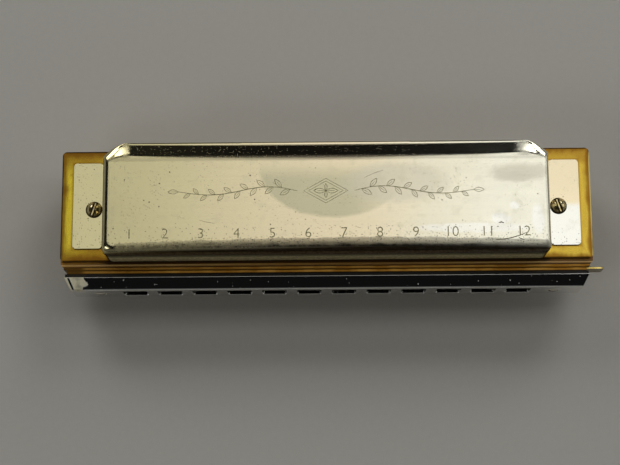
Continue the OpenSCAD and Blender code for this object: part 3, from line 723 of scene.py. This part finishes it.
def rounded(piece, width, segments=2, limit=40, clamp=True):
    """Rounds a piece's sharp edges, narrower where clamped edges would meet, and shades it smooth."""
    sharp = math.radians(limit)
    settings = {"width": width, "segments": segments, "use_clamp_overlap": clamp}
    applied(piece, "edges", "BEVEL", limit_method="ANGLE", angle_limit=sharp, **settings)
    bpy.ops.object.shade_smooth_by_angle(angle=sharp)


def copied(source, name):
    """A copy of an object with a mesh of its own."""
    copy = bpy.data.objects.new(name, source.data.copy())
    bpy.context.scene.collection.objects.link(copy)
    return copy


def mirrored(piece, name, axis, about):
    """A copy of a piece mirrored in a plane across one axis, with its faces turned outwards again."""
    copy = copied(piece, name)
    for vertex in copy.data.vertices:
        vertex.co[axis] = 2 * about - vertex.co[axis]
    edit(copy)
    bpy.ops.mesh.flip_normals()
    fresh()
    return copy


def joined(name, *pieces):
    take(*pieces)
    bpy.ops.object.join()
    pieces[0].name = name
    return pieces[0]


def dress(piece, material, slot, *nodes, body="body"):
    """Gives a piece its finish and its body, and hides the nodes that it stands for. The slot is not used.
    """
    piece.data.materials.clear()
    piece.data.materials.append(material)
    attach(piece, body)
    if nodes:
        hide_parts(*nodes)


def repaint(material, *nodes):
    """Gives nodes that keep their own shape a finish."""
    for node in nodes:
        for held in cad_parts[node].material_slots:
            held.material = material


def soften(node, name, width, material, slot, body="body", segments=2, clamp=True):
    """Dresses a copy of a node with its flat faces joined and its sharp edges rounded."""
    piece = copied(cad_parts[node], name)
    edit(piece)
    bpy.ops.mesh.remove_doubles(threshold=1e-6)
    bpy.ops.mesh.customdata_custom_splitnormals_clear()
    bpy.ops.mesh.dissolve_limited(angle_limit=math.radians(0.5))
    rounded(piece, width, segments, clamp=clamp)
    flattened(piece)
    dress(piece, material, slot, node, body=body)


def looped(points):
    """A loop of edges: a circle whose vertices are moved to points."""
    fresh()
    bpy.ops.mesh.primitive_circle_add(vertices=len(points), radius=1)
    piece = bpy.context.object
    for vertex, point in zip(piece.data.vertices, points):
        vertex.co = point
    return piece


def lofted(name, rings):
    """A skin drawn ring by ring: a loop on the first ring, extruded to each of the others."""
    piece = looped(rings[0])
    piece.name = name
    edit(piece)
    bpy.ops.mesh.select_mode(type="EDGE")
    bpy.ops.mesh.select_all(action="SELECT")
    last = list(range(len(rings[0])))
    for ring in rings[1:]:
        bpy.ops.mesh.extrude_edges_indiv()
        drawn = bmesh.from_edit_mesh(piece.data)
        drawn.verts.ensure_lookup_table()
        drawn.verts.index_update()
        following = []
        for index, point in zip(last, ring):
            vertex = drawn.verts[index]
            new = next(e.other_vert(vertex) for e in vertex.link_edges if e.other_vert(vertex).select)
            new.co = point
            following.append(new.index)
        bmesh.update_edit_mesh(piece.data)
        last = following
    fresh()
    return piece


def hairpin(name, gap):
    """The slide's spring: a wire with one leg on the comb, a bend and a free leg."""
    low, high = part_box("slide_spring")
    wire = (high.z - low.z) / 2
    bend = (high.x - low.x) / 2 - wire
    middle = Vector(((low.x + high.x) / 2, high.y - wire - bend, (low.z + high.z) / 2))
    held = COMB_LOW.y + gap - middle.y
    free = low.y - middle.y
    # Steps along the wire: the held leg, the half turn of the bend and the free leg
    path = [(0, held * (1 - k / 8)) for k in range(8)]
    path += [(math.pi * k / 12, 0) for k in range(13)]
    path += [(math.pi, free * k / 24) for k in range(1, 25)]
    rounds = [math.radians(30 * k) for k in range(12)]
    up = Vector((0, 0, wire))
    rings = []
    for turn, along in path:
        out = Vector((math.cos(turn), math.sin(turn), 0))
        centre = middle + bend * out + Vector((0, along, 0))
        rings.append([centre + math.cos(a) * wire * out + math.sin(a) * up for a in rounds])
    spring = lofted(name, rings)
    edit(spring)
    bpy.ops.mesh.fill_holes(sides=0)
    outwards(spring)
    take(spring)
    bpy.ops.object.shade_smooth_by_angle(angle=math.radians(40))
    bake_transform(spring)
    return spring


def blend(first, second, share):
    return first + (second - first) * share


def rounded_ring(x, y0, y1, front, back):
    """Points round a rectangle: its front with round corners, right end, back with cut ones and left end."""

    def corner(cx, cy, size, start, cut):
        first = math.radians(start)
        last = math.radians(start + 90)
        points = []
        for k in range(1, CORNER + 1):
            share = k / (CORNER + 1)
            turn = math.radians(start + 90 * share)
            out = [blend(f(turn), blend(f(first), f(last), share), cut) for f in (math.cos, math.sin)]
            points.append((cx + size[0] * out[0], cy + size[1] * out[1]))
        return points

    front_side = [((2 * i / (RUN - 1) - 1) * (x - front[0]), y0) for i in range(RUN)]
    back_side = [((1 - 2 * i / (RUN - 1)) * (x - back[0]), y1) for i in range(RUN)]
    right = corner(x - front[0], y0 + front[1], front, -90, 0)
    right += [(x, blend(y0 + front[1], y1 - back[1], i / (END - 1))) for i in range(END)]
    right += corner(x - back[0], y1 - back[1], back, 0, CORNER_CUT)
    left = [(-px, py) for px, py in reversed(right)]
    return front_side + right + back_side + left


def dent(s, x, y):
    """How far the top panel is pushed in at a point, by its dents and a long wave."""
    depth = sum(
        deep * math.exp(-(((x - px) / rx) ** 2) - ((y - py) / ry) ** 2) for px, py, rx, ry, deep in DENTS
    )
    wave = 0.08 * (1 + math.sin(190 * x + 1.3) * math.cos(260 * y + 0.4))
    return s.dent * (depth + wave)


def round_profile(radius):
    """For each ring, its share of the way in to the panel and its drop below it, round a quarter circle."""
    tilts = [math.radians(t) for t in SHOULDER_RINGS]
    return [(1 - math.sin(t), radius * (1 - math.cos(t))) for t in tilts]


def section_profile(section):
    """The same along a section in millimetres."""
    widest = section[-1][0]
    return [(into / widest, 0.001 * drop) for into, drop in section]


def cover_rings(s, dented):
    """Rings of a cover's outer skin, from its foot up the shoulders to the middle line of its panel."""
    foot = COVER_LOW.z
    top = COVER_HIGH.z - 2 * s.mark_h - foot
    corners = ((s.front_corner, s.front_corner), (s.back_corner, s.back_corner_d))
    base = rounded_ring(s.wall_x, COVER_LOW.y, COVER_HIGH.y, *corners)
    panel_x = s.wall_x - s.end_shoulder
    panel_y = (COVER_LOW.y + s.front_shoulder, COVER_HIGH.y - s.back_shoulder)
    line_y = sum(panel_y) / 2
    half = panel_x**2 * (panel_y[1] - line_y)
    corners = ((s.panel_corner, s.panel_corner), (s.panel_cut, s.panel_cut_d))
    panel = []
    for x, y in rounded_ring(panel_x, *panel_y, *corners):
        bow = s.back_bow if y > line_y else s.front_bow
        panel.append((x, y + bow / half * x * x * (y - line_y)))

    # The two profiles between which each point round the cover lies, and its share of the second
    front = round_profile(s.front_shoulder)
    end = round_profile(s.end_shoulder)
    back = section_profile(BACK_SECTION)
    cut = section_profile(CORNER_SECTION)
    turn = [0.5 - 0.5 * math.cos(math.pi * k / (CORNER + 1)) for k in range(1, CORNER + 1)]
    side = [(front, end, t) for t in turn] + [(end, end, 0)] * END
    side += [(end, cut, t**CORNER_TURN) for t in turn]
    around = [(front, front, 0)] * RUN + side + [(back, back, 0)] * RUN + side[::-1]

    # Where each point ends on the panel's middle line
    near = panel_x - LINE_INSET
    mid = len(side) // 2
    ends = [near + LINE_REACH * (1 - abs(j - mid) / (mid + 1)) for j in range(len(side))]
    front_line = [near * (2 * i / (RUN - 1) - 1) for i in range(RUN)]
    line = front_line + ends + front_line[::-1] + [-e for e in reversed(ends)]

    def pushed(x, y, share):
        return share * dent(s, x, y) * dented

    rings = []
    for part in (0, s.opening_h / (top - back[0][1])):
        ring = []
        for (x, y), (first, second, t) in zip(base, around):
            ring.append((x, y, foot + part * (top - blend(first[0][1], second[0][1], t))))
        rings.append(ring)
    for k in range(len(SHOULDER_RINGS)):
        ring = []
        for (bx, by), (px, py), (first, second, t) in zip(base, panel, around):
            share = blend(first[k][0], second[k][0], t)
            x = blend(bx, px, share)
            y = blend(by, py, share)
            drop = blend(first[k][1], second[k][1], t)
            ring.append((x, y, foot + top - drop - pushed(x, y, share)))
        rings.append(ring)
    for step in range(1, PANEL_RINGS + 1):
        share = step / PANEL_RINGS
        ring = []
        for (px, py), lx in zip(panel, line):
            x = blend(px, lx, share)
            y = blend(py, line_y, share)
            ring.append((x, y, foot + top - pushed(x, y, 1)))
        rings.append(ring)
    return rings


def cover_shell(s, name, dented):
    """A cover's stamped shell with its open back and the thickness of its sheet."""
    shell = lofted(name, cover_rings(s, dented))
    outwards(shell)
    edit(shell)
    sill = COVER_LOW.z + s.opening_h

    def in_opening(face):
        at = face.calc_center_median()
        return at.y > COVER_HIGH.y - s.back_corner_d and at.z < sill and abs(at.x) < s.opening_x

    pick_faces(in_opening)
    bpy.ops.mesh.delete(type="FACE")
    settings = {"use_even_offset": True, "use_quality_normals": True}
    applied(shell, "sheet", "SOLIDIFY", thickness=s.sheet, offset=-1, **settings)
    rounded(shell, s.edge, limit=50)
    return shell


def cover_flange(s, name):
    """The right end's flange: a plate with rounded corners, and a neck with the bend up to the wall."""
    foot = COVER_LOW.z
    half = s.flange_d / 2
    fresh()
    bpy.ops.mesh.primitive_plane_add(size=1)
    plate = bpy.context.object
    for vertex in plate.data.vertices:
        x = COVER_HIGH.x if vertex.co.x > 0 else s.wall_x + s.bend
        vertex.co = (x, math.copysign(half, vertex.co.y), foot)
    edit(plate)
    bpy.ops.mesh.bevel(offset=s.flange_corner, segments=6, affect="VERTICES")
    bpy.ops.mesh.select_all(action="SELECT")
    bpy.ops.mesh.extrude_region_move(TRANSFORM_OT_translate={"value": (0, 0, s.sheet)})
    outwards(plate)
    rounded(plate, s.edge, limit=50)
    inner = s.wall_x - s.sheet / 2
    outer = s.wall_x + s.bend + s.flange_corner
    # The neck stops just under the plate's face
    level = s.sheet - 0.00001
    section = [(inner, 0), (outer, 0), (outer, level)]
    for k in range(7):
        turn = math.radians(270 - 15 * k)
        out = s.wall_x + s.bend + s.bend * math.cos(turn)
        section.append((out, level + s.bend + s.bend * math.sin(turn)))
    section.append((inner, level + s.bend))
    neck = looped([(x, s.flange_corner - half, foot + z) for x, z in section])
    edit(neck)
    bpy.ops.mesh.edge_face_add()
    bpy.ops.mesh.extrude_region_move(TRANSFORM_OT_translate={"value": (0, 2 * (half - s.flange_corner), 0)})
    outwards(neck)
    rounded(neck, 0.3 * s.edge, 1, 50)
    return joined(name, plate, neck)


def whole_cover(s, name, dented):
    """A cover's shell with a flange at each end."""
    right = cover_flange(s, "flange_right")
    left = mirrored(right, "flange_left", 0, 0)
    return joined(name, cover_shell(s, name, dented), right, left)


def stroke(points, width):
    """A flat ribbon along points, narrower at both ends: a grid of two rows laid on them."""
    fresh()
    bpy.ops.mesh.primitive_grid_add(x_subdivisions=len(points) - 1, y_subdivisions=1, size=1)
    piece = bpy.context.object
    last = len(points) - 1
    for i, point in enumerate(points):
        ahead = (points[min(i + 1, last)] - points[max(i - 1, 0)]).normalized()
        half = width * (0.3 + 0.2 * math.sin(math.pi * i / last))
        aside = half * Vector((-ahead.y, ahead.x))
        for row, place in ((0, point - aside), (1, point + aside)):
            piece.data.vertices[row * (last + 1) + i].co = (*place, 0)
    return piece


def chosen(context):
    """The sizes and colours that the user has set."""
    return context.scene.harmonica_sizes, context.scene.harmonica_colours


class HARMONICA_OT_stage(bpy.types.Operator):
    """Lays the floor, hangs the lights and sets the camera"""

    bl_idname = "harmonica.stage"
    bl_label = "Stage"

    def execute(self, context):
        scene = context.scene
        s = scene.harmonica_stage
        scene.view_settings.view_transform = "Standard"
        fresh()
        bpy.ops.mesh.primitive_plane_add(size=FLOOR_SIZE, location=(0, 0, 0))
        floor = context.object
        floor.name = "floor"
        for vertex in floor.data.vertices:
            vertex.co.z = -FLOOR_DROP
        floor.data.materials.append(pale_floor(scene.harmonica_colours))
        world = bpy.data.worlds.new("room")
        world.use_nodes = True
        world.node_tree.nodes["Background"].inputs["Color"].default_value = (s.room, s.room, s.room, 1)
        scene.world = world
        for name, low, high, z, share in SOFTBOXES:
            place = ((low[0] + high[0]) / 2, (low[1] + high[1]) / 2, z)
            size = (high[0] - low[0], high[1] - low[1])
            self.light(name + "_softbox", place, (0, 0, 0), size, share * s.soft)
        for name, place, size, share in LAMPS:
            self.lamp(name + "_lamp", place, size, share * s.lamp)
        for name, place, height, share in WALLS:
            self.lamp(name + "_wall", place, (WALL_LENGTH, height), share * s.wall)
        self.camera(scene, s)
        return {"FINISHED"}

    def lamp(self, name, place, size, brightness):
        """Stands a light that faces the harmonica."""
        aim = (-Vector(place)).to_track_quat("-Z", "Y").to_euler()
        self.light(name, place, aim, size, brightness)

    def light(self, name, place, turn, size, brightness):
        bpy.ops.object.light_add(type="AREA", location=place, rotation=turn)
        light = bpy.context.object
        light.name = name
        light.data.shape = "RECTANGLE"
        light.data.size, light.data.size_y = size
        light.data.energy = brightness * WATTS * size[0] * size[1]

    def camera(self, scene, s):
        turns = Euler((-s.tilt, -s.yaw, s.roll), "XYZ").to_matrix().transposed()
        place = turns @ Vector((-s.aside, -s.above, s.distance)) + Vector((0, 0, MIDDLE))
        bpy.ops.object.camera_add()
        camera = bpy.context.object
        camera.matrix_world = Matrix.LocRotScale(place, turns, None)
        camera.data.sensor_fit = "HORIZONTAL"
        camera.data.sensor_width = 36
        camera.data.lens = s.lens
        camera.data.clip_start = 0.01
        scene.camera = camera


class HARMONICA_OT_covers(bpy.types.Operator):
    """Stamps both covers with their flanges and open backs"""

    bl_idname = "harmonica.covers"
    bl_label = "Covers"

    def execute(self, context):
        s, c = chosen(context)
        nickel = worn_nickel(c, s)
        top = whole_cover(s, "top_cover_shell", 1)
        plain = whole_cover(s, "plain_cover", 0.2)
        bottom = mirrored(plain, "bottom_cover_shell", 2, MIDDLE)
        bpy.data.objects.remove(plain)
        for cover, node in ((top, "top_cover"), (bottom, "bottom_cover")):
            flattened(cover)
            dress(cover, nickel, "cover_nickel", node)
        return {"FINISHED"}


class HARMONICA_OT_marks(bpy.types.Operator):
    """Strikes the hole numbers and a plain leaf ornament into the top cover, and scratches it"""

    bl_idname = "harmonica.marks"
    bl_label = "Numbers and marks"

    def execute(self, context):
        s, c = chosen(context)
        struck = struck_mark("struck_mark", c.mark, c.nickel_warm)
        scored = struck_mark("scored_mark", c.pit, c.mark)
        numbers = joined("hole_numbers", *[self.digit(s, i) for i in range(s.numbers)])
        outwards(numbers)
        self.lay(s, numbers, struck, 0)
        ornament = joined("leaf_ornament", *self.lozenge(s), *self.sprig(s, -1), *self.sprig(s, 1))
        self.lay(s, self.thickened(s, ornament), struck, s.mark_h)
        scratches = joined("scratches", *self.scores())
        self.lay(s, self.thickened(s, scratches), scored, 1.2 * s.mark_h)
        return {"FINISHED"}

    def lay(self, s, piece, material, above):
        """Puts flat marks on the top cover's dented panel."""
        panel = COVER_HIGH.z - 2 * s.mark_h + above
        for vertex in piece.data.vertices:
            vertex.co.z += panel - dent(s, vertex.co.x, vertex.co.y)
        dress(piece, material, "cover_nickel")

    def thickened(self, s, piece):
        applied(piece, "depth", "SOLIDIFY", thickness=2 * s.mark_h, offset=-1)
        return piece

    def digit(self, s, i):
        """A hole's number, made a mesh before it is put in its place."""
        fresh()
        bpy.ops.object.text_add()
        text = bpy.context.object
        text.data.body = str(i + 1)
        text.data.align_x = "CENTER"
        text.data.size = s.number_h / DIGIT_SHARE
        text.data.offset = -DIGIT_THIN
        text.data.extrude = s.mark_h
        text.data.resolution_u = 4
        take(text)
        bpy.ops.object.convert(target="MESH")
        piece = bpy.context.object
        x = (i - (s.numbers - 1) / 2) * s.number_pitch
        for vertex in piece.data.vertices:
            vertex.co.x += x
            vertex.co.y += s.number_y - s.number_h / 2
        return piece

    def leaf(self, s, root, turn, reach):
        """The outline of a pointed leaf with its vein."""
        along = Vector((math.cos(turn), math.sin(turn)))
        aside = Vector((-along.y, along.x))
        steps = [k / 8 for k in range(9)]

        def edge(bulge):
            return [root + reach * (t * along + bulge * math.sin(math.pi * t) * aside) for t in steps]

        vein = [root + reach * t * along for t in (0, 0.35, 0.7)]
        return [stroke(edge(0.2) + edge(-0.2)[::-1][1:], s.line_w), stroke(vein, 0.7 * s.line_w)]

    def sprig(self, s, side):
        """A waving stem with leaves on both sides, from the lozenge out to one end."""
        start, run, wave, lean = 0.0075, 0.031, 0.0013, 0.75

        def at(t):
            return Vector((
                side * (start + run * t),
                s.ornament_y + wave * math.sin(2 * math.pi * t) * (1 - 0.4 * t),
            ))

        lines = [stroke([at(k / 32) for k in range(33)], 1.3 * s.line_w)]
        for k in range(13):
            t = 0.06 + 0.07 * k
            ahead = at(t + 0.01) - at(t)
            turn = math.atan2(ahead.y, ahead.x) + side * (lean if k % 2 else -lean)
            lines += self.leaf(s, at(t), turn, 0.0031 * (1 - 0.35 * t))
        return lines + self.leaf(s, at(1), 0 if side > 0 else math.pi, 0.0028)

    def lozenge(self, s):
        """Two nested lozenges with four leaves inside."""
        wide, high = 0.0058, 0.0033
        middle = Vector((0, s.ornament_y))
        lines = []
        for scale in (1, 0.78):
            corners = ((wide, 0), (0, high), (-wide, 0), (0, -high), (wide, 0))
            lines.append(stroke([middle + scale * Vector(corner) for corner in corners], s.line_w))
        for k in range(4):
            lines += self.leaf(s, middle, k * math.pi / 2, 0.0032 if k % 2 == 0 else 0.0019)
        return lines

    def scores(self):
        """A long curved scratch at the high notes, a notch beside it and a few short ones."""
        steps = (0, 0.25, 0.5, 0.75, 1)
        long = [Vector((blend(0.0440, 0.0519, t), blend(-0.0118, -0.0100, t * t))) for t in steps]
        yield stroke(long, 0.00024)
        for width, *points in SCRATCHES:
            yield stroke([Vector(point) for point in points], width)


class HARMONICA_OT_comb(bpy.types.Operator):
    """Rounds the comb's edges and varnishes its wood"""

    bl_idname = "harmonica.comb"
    bl_label = "Comb"

    def execute(self, context):
        s, c = chosen(context)
        soften("comb", "varnished_comb", 1.5 * s.edge, varnished_wood(c), "comb_wood")
        return {"FINISHED"}


class HARMONICA_OT_plates(bpy.types.Operator):
    """Rounds the reed plates' edges and tarnishes their brass, with the nails in them"""

    bl_idname = "harmonica.plates"
    bl_label = "Reed plates"

    def execute(self, context):
        s, c = chosen(context)
        brass = tarnished_brass(c, s.flange_d / 2)
        for side in ("top", "bottom"):
            soften(side + "_reed_plate", side + "_brass_plate", s.edge, brass, "plate_brass")
        nail = plain_metal("nail_brass", c.brass, c.browned, 0.8, 900, 0.34)
        repaint(nail, "top_plate_nails", "bottom_plate_nails")
        return {"FINISHED"}


class HARMONICA_OT_reeds(bpy.types.Operator):
    """Finishes the reeds, their rivets and the valves over their slots"""

    bl_idname = "harmonica.reeds"
    bl_label = "Reeds and valves"

    def execute(self, context):
        c = context.scene.harmonica_colours
        reed = plain_metal("reed_brass", c.reed_brass, c.brass, 0.6, 500, 0.26)
        rivet = plain_metal("rivet_brass", c.brass, c.browned, 0.6, 1500, 0.3)
        film = valve_film(c)
        for side in ("top", "bottom"):
            repaint(reed, side + "_draw_reeds", side + "_blow_reeds")
            repaint(rivet, side + "_reed_rivets")
            repaint(film, side + "_outer_valves", side + "_inner_valves")
        return {"FINISHED"}


class HARMONICA_OT_slide(bpy.types.Operator):
    """Finishes the slide, its back plate, its channel and its spring"""

    bl_idname = "harmonica.slide"
    bl_label = "Slide"

    def execute(self, context):
        s, c = chosen(context)
        browned = seam_brass(c)
        thin = 0.6 * s.edge
        soften("slide_back_plate", "back_plate", thin, browned, "channel_brass")
        soften("slide_channel", "channel", thin, browned, "channel_brass")
        soften("slide", "sprung_slide", thin, slide_brass(c), "slide_brass", body="slide")
        spring = hairpin("hairpin_spring", s.spring_gap)
        spring.data.materials.append(plain_metal("spring_wire", c.steel, c.steel_dark, 0.5, 700, 0.25))
        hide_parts("slide_spring")
        return {"FINISHED"}


class HARMONICA_OT_mouthpiece(bpy.types.Operator):
    """Rounds and plates the mouthpiece and its two screws"""

    bl_idname = "harmonica.mouthpiece"
    bl_label = "Mouthpiece"

    def execute(self, context):
        s, c = chosen(context)
        chrome = mouth_chrome(c, s.rebate)
        plating = {"segments": 3, "clamp": False}
        soften("mouthpiece", "plated_mouthpiece", 1.6 * s.edge, chrome, "mouthpiece_chrome", **plating)
        soften("mouthpiece_screws", "front_screws", 0.5 * s.edge, screw_chrome(c), "screw_chrome")
        return {"FINISHED"}


class HARMONICA_OT_bolts(bpy.types.Operator):
    """Rounds the cover bolts and their nuts and paints shade along their slots and a dark reflection round
    their rims
    """

    bl_idname = "harmonica.bolts"
    bl_label = "Cover bolts"

    def execute(self, context):
        s, c = chosen(context)
        brass = slotted_brass(c)
        soften("cover_bolts", "slotted_bolts", 0.8 * s.edge, brass, "bolt_brass")
        soften("cover_nuts", "slotted_nuts", 0.8 * s.edge, brass, "bolt_brass")
        return {"FINISHED"}


OPERATORS = (
    HARMONICA_OT_stage,
    HARMONICA_OT_covers,
    HARMONICA_OT_marks,
    HARMONICA_OT_comb,
    HARMONICA_OT_plates,
    HARMONICA_OT_reeds,
    HARMONICA_OT_slide,
    HARMONICA_OT_mouthpiece,
    HARMONICA_OT_bolts,
)


class HARMONICA_PT_sidebar(bpy.types.Panel):
    """Lists the pieces and the values that shape them"""

    bl_idname = "HARMONICA_PT_sidebar"
    bl_label = "Harmonica"
    bl_space_type = "VIEW_3D"
    bl_region_type = "UI"
    bl_category = "Harmonica"

    def draw(self, context):
        for operator in OPERATORS:
            self.layout.operator(operator.bl_idname)
        for group in (*chosen(context), context.scene.harmonica_stage):
            box = self.layout.box()
            for name in group.__annotations__:
                box.prop(group, name)


GROUPS = (HarmonicaSizes, HarmonicaColours, HarmonicaStage)


def register():
    for made in (*GROUPS, *OPERATORS, HARMONICA_PT_sidebar):
        bpy.utils.register_class(made)
    bpy.types.Scene.harmonica_sizes = PointerProperty(type=HarmonicaSizes)
    bpy.types.Scene.harmonica_colours = PointerProperty(type=HarmonicaColours)
    bpy.types.Scene.harmonica_stage = PointerProperty(type=HarmonicaStage)


def unregister():
    del bpy.types.Scene.harmonica_stage
    del bpy.types.Scene.harmonica_colours
    del bpy.types.Scene.harmonica_sizes
    for made in reversed((*GROUPS, *OPERATORS, HARMONICA_PT_sidebar)):
        bpy.utils.unregister_class(made)


def main():
    register()
    for operator in OPERATORS:
        getattr(bpy.ops.harmonica, operator.bl_idname.split(".")[1])()


if __name__ == "__main__":
    main()
